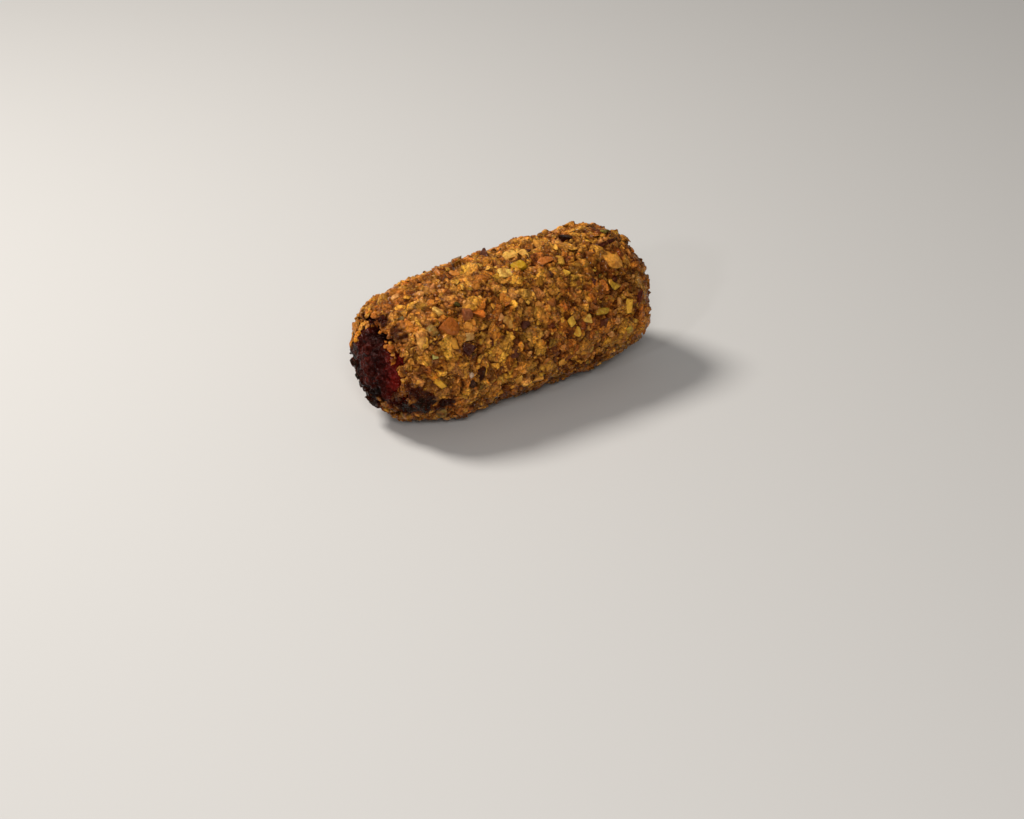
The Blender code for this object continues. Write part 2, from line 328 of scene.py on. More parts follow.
def burn_and_shade(points):
    """Darkening of the crust, 0 to 1: charring at the mouth's back and foot, painted shade on the underside."""
    angle = np.degrees(angle_of(points)) % 360
    patchy = noise_at(points, 0.0042, (7.0, 1.0, 3.0)) + 0.7 * noise_at(points, 0.0017, (3.0, 8.0, 2.0))
    at_mouth = smooth_step(-0.0425, -0.0500, points[:, 0] + 0.0020 * patchy)
    back = smooth_step(158, 180, angle) * (1 - smooth_step(262, 292, angle))
    foot = smooth_step(285, 305, angle) * (1 - smooth_step(332, 348, angle)) * 0.55
    # Painted shade: a little darker on the underside, partly a browner fried bottom
    underside_shade = smooth_step(205, 238, angle) * (1 - smooth_step(316, 346, angle)) * 0.22
    spots = smooth_step(0.42, 0.70, noise_at(points, 0.0085, (2.0, 9.0, 4.0))) * 0.20
    # Charred spots beside the mouth, partly painted shade on the lower front
    for x, degrees, width, strength in SCORCH_AND_SHADE_SPOTS:
        middle = around(np.radians([degrees]))[0] * float(roll_radius(np.array(x))) + (x, 0.0, 0.0)
        near = np.exp(-((points - middle) ** 2).sum(axis=1) / width**2)
        spots = np.maximum(spots, smooth_step(0.10, 0.85, near * (1 + 1.2 * patchy)) * strength)
    return np.clip(np.maximum(at_mouth * (back + foot) * (1 + 0.4 * patchy), underside_shade) + spots, 0, 1)


def mixed(first, second, share):
    return first + (second - first) * np.asarray(share)[..., None]


def scorched_and_shaded(colours, points):
    """Colours turned red-brown and then black by that darkening: charring, and painted shade in places."""
    share = burn_and_shade(points)
    return mixed(mixed(colours, linear(SHADE_AND_SCORCH_COLOUR), np.minimum(share * 1.5, 1)), linear(CHAR_AND_SHADE_COLOUR), share**2.2)


def picked(palette, count, draw):
    """A colour of the palette for each of count things, a little lighter or darker than the next."""
    colours = np.array([linear(colour) for colour, share in palette.values()])
    shares = np.array([share for colour, share in palette.values()])
    choice = draw.choice(len(colours), count, p=shares / shares.sum())
    return colours[choice] * draw.uniform(0.78, 1.22, (count, 1))


def crumb_tone(points):
    """The crumb's own colour, which drifts between its three tones, and is browner towards the shut end."""
    drift = 0.42 + 0.26 * smooth_step(-0.030, 0.045, points[:, 0])
    drift += 0.75 * noise_at(points, 0.0095, (4.0, 4.0, 4.0)) + 0.45 * noise_at(points, 0.0034, (8.0, 1.0, 6.0))
    light, middle, dark = (linear(tone) for tone in CRUMB_TONES)
    tones = mixed(np.tile(light, (len(points), 1)), middle, smooth_step(0.15, 0.60, drift))
    return mixed(tones, dark, smooth_step(0.62, 1.10, drift))


class Crumbs:
    """Irregular crumbs of one size, packed over the roll: which crumb a point is in, and its height there."""

    def __init__(self, outline, size, groove, step, slope, whole_share, draw):
        surface = 2 * math.pi * RADIUS_MIDDLE * (SHUT_TIP_X - BURST_TIP_X + RADIUS_MIDDLE)
        self.size, self.groove = size, groove
        self.count = int(surface / (size * size * 0.8))
        way, angle = outline.way_at_area(draw.random(self.count)), draw.uniform(0, math.tau, self.count)
        points, outward = outline.at(way, angle)
        self.middle = points + outward * draw.uniform(-0.35, 0.35, (self.count, 1)) * size
        self.step = draw.uniform(-1, 1, self.count) * step
        self.slope = draw.normal(0, slope, (self.count, 3))
        self.whole = draw.random(self.count) < whole_share
        own = picked(CRUMB_COLOURS, self.count, draw)
        self.colour = mixed(crumb_tone(self.middle) * draw.uniform(0.82, 1.2, (self.count, 1)), own, 0.45)
        self.tree = KDTree(self.count)
        for index, place in enumerate(self.middle.tolist()):
            self.tree.insert(place, index)
        self.tree.balance()

    def at(self, points):
        """The crumb at each point, its height there, and how deep in a groove the point is, from 0 to 1."""
        found = [self.tree.find_n(place, 2) for place in points.tolist()]
        nearest = np.array([first[1] for first, second in found])
        between = np.array([second[2] - first[2] for first, second in found])
        in_groove = (1 - np.clip(between / (self.size * 0.40), 0, 1)) ** 2
        height = self.step[nearest] - self.groove * in_groove
        height += np.einsum("ij,ij->i", self.slope[nearest], points - self.middle[nearest])
        return nearest, height, in_groove


class CrustSurface:
    """The height and colour of the crust at any point of its smooth outline."""

    def __init__(self, outline):
        draw = np.random.default_rng(CRUMB_SEED)
        self.sizes = [Crumbs(outline, *sizes, draw) for sizes in CRUMB_SIZES]

    def crags(self, points):
        above = smooth_step(-RADIUS_MIDDLE, -RADIUS_MIDDLE * 0.75, points[:, 2])
        return rough(points, CRAGS, CRAG_NOISE_AT) * (CALM_CRAGS + (1 - CALM_CRAGS) * above)

    def at(self, points):
        """Height and colour at each point. A whole crumb hides the smaller ones that it would hold."""
        wavelength, amount = CRUMB_WARP
        warped = points + noise_vectors_at(points, wavelength) * amount
        height, showing = np.zeros(len(points)), np.ones(len(points))
        groove, colour = np.zeros(len(points)), np.zeros((len(points), 3))
        for crumbs in self.sizes:
            nearest, rise, in_groove = crumbs.at(warped)
            whole = crumbs.whole[nearest]
            share = np.where(whole, 1.0, 0.55) * showing
            height += rise * share
            groove = np.maximum(groove, in_groove * share)
            shown = (whole * (showing > 0.5))[:, None]
            colour = np.where(shown, crumbs.colour[nearest], colour)
            showing = showing * np.where(whole, 0.30, 1.0)
        height += FINE_GRAIN[1] * noise_at(points, FINE_GRAIN[0])
        torn = smooth_step(CRACK_WIDTH, CRACK_WIDTH * 0.3, np.abs(noise_at(warped, CRACK_WANDER, (6.0, 3.0, 1.0))))
        torn *= smooth_step(0.0, 0.2, noise_at(points, 0.0100, (1.0, 7.0, 9.0)))
        height -= torn * CRACK_DEPTH
        colour = colour * (1 + 0.2 * noise_at(points, 0.0016))[:, None]
        # Painted shade: the colour turns dark red-brown in grooves, low places and torn cracks
        sunk = smooth_step(-0.0001, -0.0008, height)
        colour = mixed(colour, linear(SHADE_AND_SCORCH_COLOUR), np.clip(groove * 0.32 + sunk * 0.55 + torn * 0.5, 0, 0.9))
        return self.crags(points) + height, np.clip(colour, 0, 1)


def grid_faces(rings, segments, first_tip, last_tip):
    """Quads between rings of a closed grid, with a fan of triangles at each tip."""
    ring, segment = np.meshgrid(np.arange(rings - 1), np.arange(segments), indexing="ij")
    ahead = (segment + 1) % segments
    corners = (ring * segments + segment, (ring + 1) * segments + segment)
    corners += ((ring + 1) * segments + ahead, ring * segments + ahead)
    quads = np.stack(corners, axis=-1).reshape(-1, 4).tolist()
    turn = list(range(segments))
    last = (rings - 1) * segments
    fans = [(first_tip, a, (a + 1) % segments) for a in turn]
    fans += [(last_tip, last + (a + 1) % segments, last + a) for a in turn]
    return quads + fans


def mesh_piece(name, points, faces, colours, material, node):
    """Makes one piece with a colour at each point, in place of a CAD node."""
    mesh = bpy.data.meshes.new(name)
    mesh.from_pydata((points + (0.0, 0.0, AXIS_HEIGHT)).tolist(), [], faces)
    tint = mesh.attributes.new("tint", "FLOAT_COLOR", "POINT")
    tint.data.foreach_set("color", np.concatenate([colours, np.ones((len(colours), 1))], axis=1).ravel())
    mesh.materials.append(material)
    mesh.shade_smooth()
    mesh.update()
    piece = bpy.data.objects.new(name, mesh)
    bpy.context.scene.collection.objects.link(piece)
    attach(piece, "root")
    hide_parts(node)
    return piece


def build_crust(surface, outline, material):
    """The whole crust as one shell: the craggy outside, the wall of the mouth, and the hollow for the filling."""
    angle = np.arange(CRUST_SEGMENTS) * math.tau / CRUST_SEGMENTS
    outer_rings, wall_rings, inner_rings = CRUST_RINGS
    inside = roll_outline(CRUST_WALL)
    edge = mouth_outline(angle)
    rim_way, join_way = outline.way_at_mouth(edge * MOUTH_FLARE), inside.way_at_mouth(edge)
    rim, rim_outward = outline.at(rim_way, angle)
    join, _ = inside.at(join_way, angle)
    points, outward, relief = [], [], []
    for share in np.linspace(0, 1, outer_rings + 1)[1:]:
        ring, ring_outward = outline.at(rim_way * share, angle)
        points.append(ring)
        outward.append(ring_outward)
        relief.append(np.ones(CRUST_SEGMENTS))
    for share in np.linspace(0, 1, wall_rings + 2)[1:-1]:
        points.append(rim + (join - rim) * share)
        outward.append(unit(rim_outward * (1 - share) - around(angle) * share))
        relief.append(np.full(CRUST_SEGMENTS, 1 - 0.8 * share))
    for share in np.linspace(1, 0, inner_rings + 1)[:-1]:
        points.append(inside.at(join_way * share, angle)[0])
        outward.append(np.zeros((CRUST_SEGMENTS, 3)))
        relief.append(np.zeros(CRUST_SEGMENTS))
    tips = [outline.at(np.zeros(1), np.zeros(1))[0], inside.at(np.zeros(1), np.zeros(1))[0]]
    points = np.concatenate(points + tips)
    outward = np.concatenate(outward + [[(1.0, 0.0, 0.0)], [(0.0, 0.0, 0.0)]])
    relief = np.concatenate(relief + [[1.0], [0.0]])
    height, colours = surface.at(points)
    colours = mixed(linear(DEEP_RED_COLOUR) + 0 * colours, colours, smooth_step(0.3, 1.0, relief))
    colours = scorched_and_shaded(colours, points)
    points = points + outward * (height * relief)[:, None]
    points[:, 2] = np.maximum(points[:, 2], -AXIS_HEIGHT)
    rings = sum(CRUST_RINGS)
    faces = grid_faces(rings, CRUST_SEGMENTS, rings * CRUST_SEGMENTS, rings * CRUST_SEGMENTS + 1)
    mesh_piece("crust_crumb", points, faces, colours, material, "pistachio_crust")
    return points, faces


def build_filling(material):
    """The core of filling, with lumps and shreds, a smooth red fold and hollows painted dark as shade on its face in
    the mouth.
    """
    outline = filling_outline()
    angle = np.arange(FILLING_SEGMENTS) * math.tau / FILLING_SEGMENTS
    ways = np.linspace(0, 1, FILLING_RINGS + 2)[1:-1]
    way, turn = np.meshgrid(ways, angle, indexing="ij")
    way, turn = np.append(way.ravel(), [0.0, 1.0]), np.append(turn.ravel(), [0.0, 0.0])
    points, outward = outline.at(way, turn)
    in_mouth = points[:, 0] < PLUG_ROOT_X
    ragged = (mouth_outline(turn) - PLUG_GAP) / (MOUTH_RADIUS - PLUG_GAP)
    plug = np.maximum(roll_radius(points[:, 0], CRUST_WALL + FIT_GAP), plug_radius(points[:, 0]) * ragged)
    radius = np.where(in_mouth, plug, off_axis(points))
    points = around(turn) * radius[:, None] + points * (1.0, 0.0, 0.0)
    on_face = in_mouth * (1 - smooth_step(MOUTH_RADIUS * 0.80, MOUTH_RADIUS * 0.97, radius))
    fold_y, fold_z = -FOLD_RADIUS * math.cos(FOLD_ANGLE), FOLD_RADIUS * math.sin(FOLD_ANGLE)
    across, along = (points[:, 1] - fold_y) / FOLD_WIDTH, (points[:, 2] - fold_z) / FOLD_HEIGHT
    fold = np.exp(-(across**2) - along**2)
    hollow = np.zeros(len(points))
    depth = np.zeros(len(points))
    for degrees, distance, width, deep in HOLLOWS:
        middle = around(np.radians([degrees]))[0] * distance
        near = np.exp(-(((points - middle) * (0.0, 1.0, 1.0)) ** 2).sum(axis=1) / width**2)
        hollow, depth = np.maximum(hollow, near), depth + near * deep
    shreds = np.abs(noise_at(points, 0.0032, (1.0, 5.0, 2.0))) + 0.5 * np.abs(noise_at(points, 0.0015))
    lumps = rough(points, LUMPS, LUMP_NOISE_AT)
    height = lumps - FOLD_DEPTH * fold - depth - 0.0020 * (0.25 - shreds) * (1 - 0.8 * fold)
    height -= 0.0012 * smooth_step(0.0105, 0.0150, radius)
    points = points + outward * (height * on_face)[:, None]
    colours = filling_colours(points, lumps, shreds, fold, hollow)
    faces = grid_faces(FILLING_RINGS, FILLING_SEGMENTS, len(points) - 2, len(points) - 1)
    mesh_piece("mortadella_core", points, faces, colours, material, "mortadella_filling")
    return points, faces


def filling_colours(points, lumps, shreds, fold, hollow):
    """Dark red, browner on the lumps, near black where charred at the back and foot and as painted shade in hollows."""
    deep = linear(DEEP_RED_COLOUR) + np.zeros((len(points), 3))
    colours = mixed(deep, linear(RED_COLOUR), np.clip(fold * 1.5, 0, 1))
    meat = smooth_step(-0.0002, 0.0005, lumps) * smooth_step(0.10, 0.32, shreds) * (1 - fold)
    colours = mixed(colours, linear(MEAT_COLOUR), meat * 0.8)
    angle = np.degrees(angle_of(points)) % 360
    at_back = smooth_step(150, 185, angle) * (1 - smooth_step(275, 310, angle))
    outer = smooth_step(0.0060, 0.0110, off_axis(points))
    # Painted shade: the hollows turn nearly black
    return mixed(colours, linear(CHAR_AND_SHADE_COLOUR), np.clip(at_back * outer * 1.2 + hollow * 0.95, 0, 1))


def joined_tree(*shapes):
    """One search tree over several meshes of points and faces."""
    points, faces = [], []
    for some_points, some_faces in shapes:
        faces += [tuple(corner + len(points) for corner in face) for face in some_faces]
        points += some_points.tolist()
    return BVHTree.FromPolygons(points, faces)


def ball(subdivisions):
    """The points and triangles of an even ball of radius 0.5."""
    shape = bmesh.new()
    bmesh.ops.create_icosphere(shape, subdivisions=subdivisions, radius=0.5)
    points = np.array([corner.co for corner in shape.verts])
    faces = np.array([[corner.index for corner in face.verts] for face in shape.faces])
    shape.free()
    return points, faces


def chopped(points, count, cuts, shallower, draw):
    """Count balls cut flat, first near the six sides of a block and then by slanting planes, some of them less deep."""
    shapes = np.tile(points, (count, 1, 1))
    sides = [sign * axis for axis in np.eye(3) for sign in (-1, 1)]
    for cut in range(len(sides) + cuts):
        across = sides[cut] if cut < len(sides) else np.zeros(3)
        spread = 0.35 if cut < len(sides) else 1.0
        nearest, farthest = (0.16, 0.30) if cut < len(sides) else (0.22, 0.36)
        direction = unit(across + spread * draw.normal(size=(count, 1, 3)))
        depth = draw.uniform(nearest, farthest, (count, 1, 1))
        depth += shallower[:, None, None]
        beyond = np.maximum(0, (shapes * direction).sum(axis=2, keepdims=True) - depth)
        shapes = shapes - direction * beyond
    return shapes / np.abs(shapes).max(axis=1, keepdims=True) / 2


def basis_on(outward, turn, lean):
    """For each piece, the three directions of its length, width and thickness, turned and leant at random."""
    aside = unit(np.cross(outward, np.where(np.abs(outward[:, :1]) > 0.8, (0.0, 1.0, 0.0), (1.0, 0.0, 0.0))))
    ahead = np.cross(outward, aside)
    length = aside * np.cos(turn)[:, None] + ahead * np.sin(turn)[:, None]
    up = unit(outward + aside * lean[:, :1] + ahead * lean[:, 1:])
    length = unit(length - up * (length * up).sum(axis=1, keepdims=True))
    return np.stack([length, np.cross(up, length), up], axis=1)


@dataclass
class Kind:
    """What pieces of one kind are like. Widths and thicknesses are shares of the length."""

    name: str
    colours: dict
    count: int
    lengths: tuple
    widths: tuple = (0.6, 0.95)
    thicknesses: tuple = (0.45, 0.70)
    proud: float = 0.5
    detail: int = 3
    cuts: int = 4
    lean: float = 0.25
    own_colour: float = 0.7
    crisp: float = 35.0
    spaced: bool = True
    strays: float = 1.0
    rounded: float = 0.04
    seed: int = 0


def laid_places(kind, outline, taken, draw):
    """Ways, angles and lengths for the pieces of a kind, the longest first, clear of those already laid."""
    lengths = kind.lengths[0] + (kind.lengths[1] - kind.lengths[0]) * np.linspace(0, 1, kind.count) ** 0.7
    tries = 6 if kind.spaced else 1
    ways = outline.way_at_area(draw.random((kind.count, tries)))
    angles = draw.uniform(0, math.tau, (kind.count, tries))
    on_crust = ways < outline.way_at_mouth(MOUTH_RADIUS * 1.02)
    spots = outline.at(ways, angles)[0]
    clustered = noise_at(spots.reshape(-1, 3), 0.0065, (5.0, 2.0, 8.0)).reshape(ways.shape) > 0.08
    on_crust &= clustered | (draw.random(ways.shape) < kind.strays)
    if not kind.spaced:
        kept = on_crust[:, 0]
        return ways[kept, 0], angles[kept, 0], lengths[kept]
    found = []
    for index, length in enumerate(lengths):
        for attempt in range(tries):
            if on_crust[index, attempt] and clear_of(taken, spots[index, attempt], length):
                taken.append((*spots[index, attempt], length))
                found.append((ways[index, attempt], angles[index, attempt], length))
                break
    return np.array(found).T


def clear_of(taken, spot, length):
    """Whether a piece of this length has room at a spot beside those already laid."""
    others = np.array(taken)
    return bool((np.linalg.norm(others[:, :3] - spot, axis=1) > (others[:, 3] + length) * 0.40).all())


def settled(points, outward, tree):
    """Each point moved out or in to the real surface."""
    found = []
    for point, direction in zip(points, outward):
        hit = tree.ray_cast(Vector(point + direction * 0.006), Vector(-direction))[0]
        found.append(point if hit is None else np.array(hit))
    return np.array(found)


def build_pieces(kind, places, outward, sizes, turns, colours, material, draw, landmarks=0):
    """Chopped pieces of one kind, sunk into what they lie on, painted with shade where they go in. Landmarks are
    rounder.
    """
    places = places + outward * (sizes[:, 2:] * (kind.proud - 0.5))
    template, triangles = ball(kind.detail)
    shallower = kind.rounded * (np.arange(len(places)) < landmarks)
    shapes = chopped(template, len(places), kind.cuts, shallower, draw)
    basis = basis_on(outward, turns, draw.normal(0, kind.lean, (len(places), 2)))
    points = np.einsum("nvk,nkc->nvc", shapes * sizes[:, None, :], basis) + places[:, None, :]
    # Painted shade: each piece turns dark red-brown low down, where it goes in
    low = smooth_step(0.15, -0.35, shapes[:, :, 2])
    tints = mixed(np.repeat(colours[:, None, :], len(template), axis=1), linear(SHADE_AND_SCORCH_COLOUR), low * 0.45)
    points, tints = points.reshape(-1, 3), tints.reshape(-1, 3)
    points[:, 2] = np.maximum(points[:, 2], -AXIS_HEIGHT)
    tints = scorched_and_shaded(tints, points)
    faces = (triangles[None] + np.arange(len(places))[:, None, None] * len(template)).reshape(-1, 3).tolist()
    piece = mesh_piece(kind.name, points, faces, np.clip(tints, 0, 1), material, "pistachio_crust")
    piece.data.set_sharp_from_angle(angle=math.radians(kind.crisp))


def scatter(kind, outline, tree, taken, landmarks, material):
    """The pieces of a kind over the whole crust, with those that stand out in the photograph first."""
    draw = np.random.default_rng(kind.seed)
    ways, angles, lengths = laid_places(kind, outline, taken, draw)
    count = len(lengths)
    sizes = np.stack([np.ones(count), draw.uniform(*kind.widths, count), draw.uniform(*kind.thicknesses, count)], axis=1)
    places, outward = outline.at(ways, angles)
    at_tips = smooth_step(0.040, 0.050, np.abs(places[:, 0]))
    sizes *= (lengths * (1 - TIP_SHRINK * at_tips))[:, None]
    colours = picked(kind.colours, count, draw)
    colours = mixed(crumb_tone(places) * draw.uniform(0.75, 1.35, (count, 1)), colours, kind.own_colour)
    turns = draw.uniform(0, math.tau, count)
    if landmarks:
        marks = np.array([mark[:6] for mark in landmarks])
        mark_places, mark_outward = outline.at(outline.way_at_x(marks[:, 0]), np.radians(marks[:, 1]))
        marks[:, 4] *= LANDMARK_HEIGHT
        places, outward = np.concatenate([mark_places, places]), np.concatenate([mark_outward, outward])
        sizes = np.concatenate([marks[:, 2:5], sizes])
        turns = np.concatenate([np.radians(marks[:, 5]), turns])
        colours = np.concatenate([[linear(mark[6]) for mark in landmarks], colours])
    places = settled(places, outward, tree)
    build_pieces(kind, places, outward, sizes, turns, colours, material, draw, len(landmarks))


def build_rim(kind, outline, tree, landmarks, material):
    """Crumbs on the ragged edge of the mouth, which hang over the filling. Each landmark starts with its radius."""
    draw = np.random.default_rng(kind.seed)
    marks = np.array([mark[:6] for mark in landmarks])
    angle = draw.uniform(0, math.tau, kind.count)
    degrees, reach = np.array(MOUTH_REACH).T
    inner = np.interp(np.degrees(angle), degrees, reach, period=360)
    radius = np.concatenate([marks[:, 0], inner + (0.0178 - inner) * draw.random(kind.count) ** 0.9])
    angle = np.concatenate([np.radians(marks[:, 1]), angle])
    smooth, outward = outline.at(outline.way_at_mouth(radius), angle)
    places = settled(smooth, outward, tree)
    places[:, 0] = np.minimum(places[:, 0], smooth[:, 0] + RIM_SINK)
    lengths = draw.uniform(kind.lengths[1], kind.lengths[0], kind.count)
    widths, thicknesses = draw.uniform(*kind.widths, kind.count), draw.uniform(*kind.thicknesses, kind.count)
    sizes = np.concatenate([marks[:, 2:5], np.stack([lengths, lengths * widths, lengths * thicknesses], axis=1)])
    colours = mixed(crumb_tone(places[len(marks) :]), picked(kind.colours, kind.count, draw), kind.own_colour)
    colours = np.concatenate([[linear(mark[6]) for mark in landmarks], colours])
    turns = np.concatenate([np.radians(marks[:, 5]), draw.uniform(0, math.tau, kind.count)])
    build_pieces(kind, places, outward, sizes, turns, colours, material, draw, len(marks))


def shader_of(name):
    material = bpy.data.materials.new(name)
    material.use_nodes = True
    return material, material.node_tree.nodes, material.node_tree.links


def noise_range(nodes, links, place, size, low, high, start=0.34):
    """A noise of a size in metres, spread between two values. The low one holds up to the start."""
    texture = nodes.new("ShaderNodeTexNoise")
    texture.inputs["Scale"].default_value = 1 / size
    texture.inputs["Detail"].default_value = 3.0
    spread = nodes.new("ShaderNodeMapRange")
    spread.inputs["From Min"].default_value = start
    spread.inputs["From Max"].default_value = 0.66
    spread.inputs["To Min"].default_value = low
    spread.inputs["To Max"].default_value = high
    links.new(place.outputs["Object"], texture.inputs["Vector"])
    links.new(texture.outputs["Fac"], spread.inputs["Value"])
    return spread.outputs["Result"]


def reckoned(nodes, links, kind, operation, *values):
    """A maths node of a kind, with each value either a socket or a constant."""
    reckoner = nodes.new(kind)
    reckoner.operation = operation
    for socket, value in zip(reckoner.inputs, values):
        if isinstance(value, bpy.types.NodeSocket):
            links.new(value, socket)
        else:
            socket.default_value = value
    return reckoner.outputs


def spread_of(nodes, links, value, was, becomes):
    """A value spread from one range to another, and held there."""
    spread = nodes.new("ShaderNodeMapRange")
    spread.inputs["From Min"].default_value, spread.inputs["From Max"].default_value = was
    spread.inputs["To Min"].default_value, spread.inputs["To Max"].default_value = becomes
    links.new(value, spread.inputs["Value"])
    return spread.outputs["Result"]


def stained(nodes, links, colour, share, stain):
    mix = nodes.new("ShaderNodeMix")
    mix.data_type = "RGBA"
    links.new(share, mix.inputs["Factor"])
    links.new(colour, mix.inputs["A"])
    mix.inputs["B"].default_value = (*stain, 1.0)
    return mix.outputs["Result"]


def painted_gap_shade(nodes, links, colour):
    """The colour with painted shade, turned red-brown where other crumbs stand close round it."""
    open_sky = nodes.new("ShaderNodeAmbientOcclusion")
    open_sky.samples = 6
    open_sky.inputs["Distance"].default_value = 0.0018
    gap_shade_share = spread_of(nodes, links, open_sky.outputs["AO"], (0.22, 0.74), (0.85, 0.0))
    return stained(nodes, links, colour, gap_shade_share, linear(SHADE_AND_SCORCH_COLOUR))


def chips(nodes, links, place, size):
    """Torn chips of a size in metres, packed together: their colours, heights in metres, and cracks from 0 to 1."""
    warp = nodes.new("ShaderNodeTexNoise")
    warp.inputs["Scale"].default_value = 1.4 / size
    links.new(place.outputs["Object"], warp.inputs["Vector"])
    vector = "ShaderNodeVectorMath"
    spot = reckoned(
        nodes, links, vector, "MULTIPLY_ADD", warp.outputs["Color"], (size,) * 3, place.outputs["Object"]
    )["Vector"]
    chip, crack = nodes.new("ShaderNodeTexVoronoi"), nodes.new("ShaderNodeTexVoronoi")
    crack.feature = "DISTANCE_TO_EDGE"
    for texture in (chip, crack):
        texture.inputs["Scale"].default_value = 1 / size
        links.new(spot, texture.inputs["Vector"])
    away = reckoned(nodes, links, vector, "SUBTRACT", spot, chip.outputs["Position"])["Vector"]
    lean = reckoned(nodes, links, vector, "SUBTRACT", chip.outputs["Color"], (0.5, 0.5, 0.5))["Vector"]
    tilt = reckoned(nodes, links, vector, "DOT_PRODUCT", away, lean)["Value"]
    cracks = spread_of(nodes, links, crack.outputs["Distance"], (0.0, 0.10), (1.0, 0.0))
    height = reckoned(nodes, links, "ShaderNodeMath", "MULTIPLY_ADD", cracks, -0.12 * size, tilt)["Value"]
    return chip.outputs["Color"], height, cracks


def gloss(nodes, links, place, shader, level, tint, glaze, glow):
    """The gloss of the surface, its film of oil in patches, and how far light glows through it."""
    shader.inputs["Specular IOR Level"].default_value = level
    shader.inputs["Specular Tint"].default_value = (*tint, 1.0)
    links.new(noise_range(nodes, links, place, 0.0012, 0.0, glaze, 0.47), shader.inputs["Coat Weight"])
    shader.inputs["Coat Roughness"].default_value = 0.07
    shader.inputs["Subsurface Weight"].default_value = glow
    shader.inputs["Subsurface Radius"].default_value = (1.0, 0.5, 0.2)
    shader.inputs["Subsurface Scale"].default_value = 0.0010


def bumped(nodes, links, shader, height, strength):
    """Bump from a height in metres."""
    bump = nodes.new("ShaderNodeBump")
    bump.inputs["Distance"].default_value = 1.0
    bump.inputs["Strength"].default_value = strength
    links.new(height, bump.inputs["Height"])
    links.new(bump.outputs["Normal"], shader.inputs["Normal"])
    links.new(bump.outputs["Normal"], shader.inputs["Coat Normal"])


def crumb_material():
    """Fried crumb: torn chips and fine grains of many golds and browns, painted shade in cracks and gaps, oil in
    patches.
    """
    material, nodes, links = shader_of("fried crumb")
    shader = nodes["Principled BSDF"]
    place = nodes.new("ShaderNodeTexCoord")
    tint = nodes.new("ShaderNodeAttribute")
    tint.attribute_name = "tint"
    vector = "ShaderNodeVectorMath"
    chip_colour, chip_height, cracks = chips(nodes, links, place, 0.0024)
    grain_colour, grain_height, grain_cracks = chips(nodes, links, place, 0.0007)
    tone = reckoned(nodes, links, vector, "MULTIPLY_ADD", chip_colour, CHIP_SPREAD, CHIP_LEAST)["Vector"]
    colour = reckoned(nodes, links, vector, "MULTIPLY", tint.outputs["Color"], tone)["Vector"]
    for patches, shades in ((chip_colour, (0.76, 1.28)), (grain_colour, (0.74, 1.30))):
        shade = spread_of(nodes, links, patches, (0.25, 0.75), shades)
        colour = reckoned(nodes, links, vector, "SCALE", colour)["Vector"]
        links.new(shade, colour.node.inputs["Scale"])
    # Painted shade: red-brown in the gaps between crumbs and along the cracks
    colour = painted_gap_shade(nodes, links, colour)
    painted_crack_shade = reckoned(nodes, links, "ShaderNodeMath", "MULTIPLY", cracks, 0.48)["Value"]
    colour = stained(nodes, links, colour, painted_crack_shade, linear(SHADE_AND_SCORCH_COLOUR))
    links.new(colour, shader.inputs["Base Color"])
    links.new(noise_range(nodes, links, place, 0.0022, 0.07, 0.50), shader.inputs["Roughness"])
    height = reckoned(nodes, links, "ShaderNodeMath", "MULTIPLY_ADD", grain_height, 1.2, chip_height)["Value"]
    sparkle = noise_range(nodes, links, place, 0.0006, 0.0, 0.00010)
    height = reckoned(nodes, links, "ShaderNodeMath", "ADD", height, sparkle)["Value"]
    bumped(nodes, links, shader, height, 0.65)
    gloss(nodes, links, place, shader, 0.13, (1.0, 0.68, 0.36), 0.42, 0.22)
    return material


def food_material(name, roughness, mottles, bump_size, bump_height, level, tint, glaze, glow, toasting):
    """Smoother food: the piece's own tints, mottled finely and toasted in patches, with painted shade in gaps and oil
    on it.
    """
    material, nodes, links = shader_of(name)
    shader = nodes["Principled BSDF"]
    place = nodes.new("ShaderNodeTexCoord")
    own = nodes.new("ShaderNodeAttribute")
    own.attribute_name = "tint"
    mottled = reckoned(nodes, links, "ShaderNodeVectorMath", "SCALE", own.outputs["Color"])["Vector"]
    links.new(noise_range(nodes, links, place, 0.0012, *mottles), mottled.node.inputs["Scale"])
    patches = noise_range(nodes, links, place, 0.0022, 0.0, toasting, 0.46)
    # Toasted in patches, then painted shade where other crumbs stand close round the piece
    colour = painted_gap_shade(nodes, links, stained(nodes, links, mottled, patches, linear(TOASTED_COLOUR)))
    links.new(colour, shader.inputs["Base Color"])
    links.new(noise_range(nodes, links, place, 0.0035, *roughness), shader.inputs["Roughness"])
    bumped(nodes, links, shader, noise_range(nodes, links, place, bump_size, 0.0, bump_height), 1.0)
    gloss(nodes, links, place, shader, level, tint, glaze, glow)
    return material


def build_camera():
    data = bpy.data.cameras.new("camera")
    data.sensor_width = SENSOR_WIDTH
    data.lens = FOCAL_PIXELS / PHOTO_WIDTH * SENSOR_WIDTH
    data.clip_start = 0.01
    camera = bpy.data.objects.new("camera", data)
    level = math.cos(CAMERA_PITCH)
    facing = Vector((math.sin(CAMERA_YAW) * level, math.cos(CAMERA_YAW) * level, -math.sin(CAMERA_PITCH)))
    camera.location = CAMERA_PLACE
    camera.rotation_euler = facing.to_track_quat("-Z", "Y").to_euler()
    bpy.context.scene.collection.objects.link(camera)
    bpy.context.scene.camera = camera


def area_light(name, place, size, power, colour=(1.0, 1.0, 1.0)):
    data = bpy.data.lights.new(name, "AREA")
    data.shape = "DISK"
    data.size = size
    data.energy = power
    data.color = colour
    light = bpy.data.objects.new(name, data)
    light.location = place
    light.rotation_euler = (-Vector(place)).to_track_quat("-Z", "Y").to_euler()
    bpy.context.scene.collection.objects.link(light)


